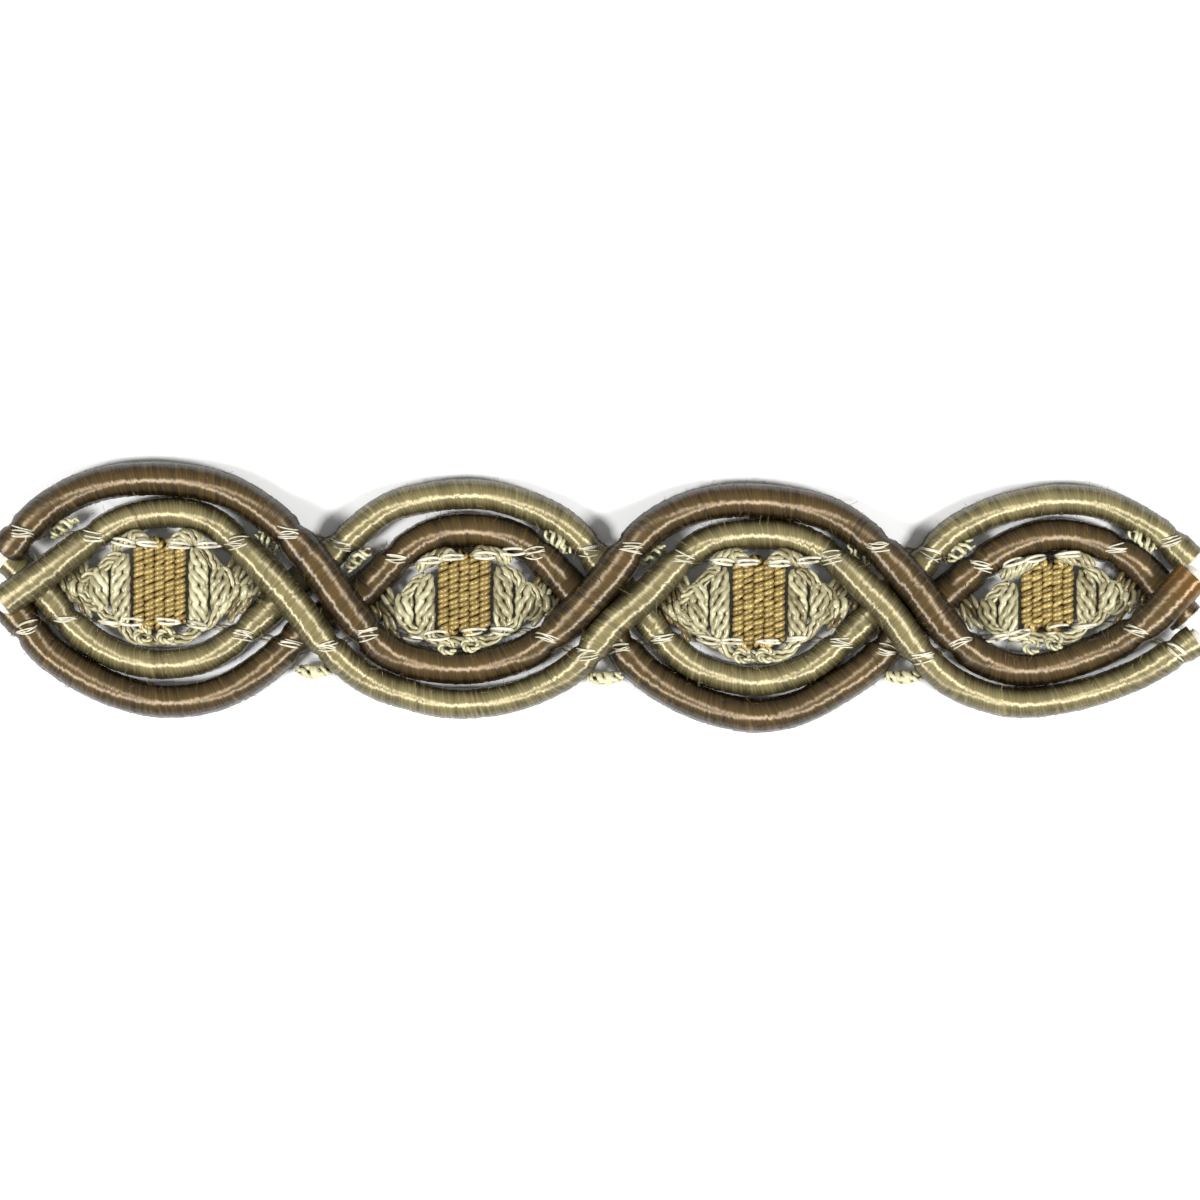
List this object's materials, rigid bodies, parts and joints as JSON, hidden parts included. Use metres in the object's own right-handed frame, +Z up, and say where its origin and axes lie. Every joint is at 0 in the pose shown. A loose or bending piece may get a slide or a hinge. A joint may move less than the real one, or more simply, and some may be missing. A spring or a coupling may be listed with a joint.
{
  "type": "braid trim",
  "caption": "Flat length of gimp braid: satin-wrapped cords cross between open eyes filled with cream and gold yarn, held by knitted chains along its length.",
  "frame": {"origin": "middle of the trim's underside, on the surface it lies on", "axes": "+X along the trim, +Y across it towards the upper edge, +Z up out of its face"},
  "size_m": [0.1212, 0.0268, 0.006],
  "materials": {
    "umber_gimp": "satin-wrapped gimp, umber brown",
    "champagne_gimp": "satin-wrapped gimp, pale champagne olive",
    "cream_yarn": "plied lustrous cream yarn",
    "gold_yarn": "tightly twisted gold yarn",
    "stitch_thread": "fine pale stitching thread"
  },
  "bodies": {
    "root": {"cord_umber_over": "umber_gimp", "cord_champagne_over": "champagne_gimp", "cord_champagne_under": "champagne_gimp", "cord_umber_under": "umber_gimp", "cream_yarn_1": "cream_yarn", "cream_yarn_2": "cream_yarn", "cream_yarn_3": "cream_yarn", "cream_yarn_4": "cream_yarn", "gold_yarn_1": "gold_yarn", "gold_yarn_2": "gold_yarn", "gold_yarn_3": "gold_yarn", "gold_yarn_4": "gold_yarn", "loop_upper_1": "cream_yarn", "loop_upper_2": "cream_yarn", "loop_upper_3": "cream_yarn", "loop_upper_4": "cream_yarn", "loop_upper_5": "cream_yarn", "loop_upper_6": "cream_yarn", "loop_lower_1": "cream_yarn", "loop_lower_2": "cream_yarn", "loop_lower_3": "cream_yarn", "chain_upper": "stitch_thread", "chain_lower": "stitch_thread"}
  },
  "joints": []
}
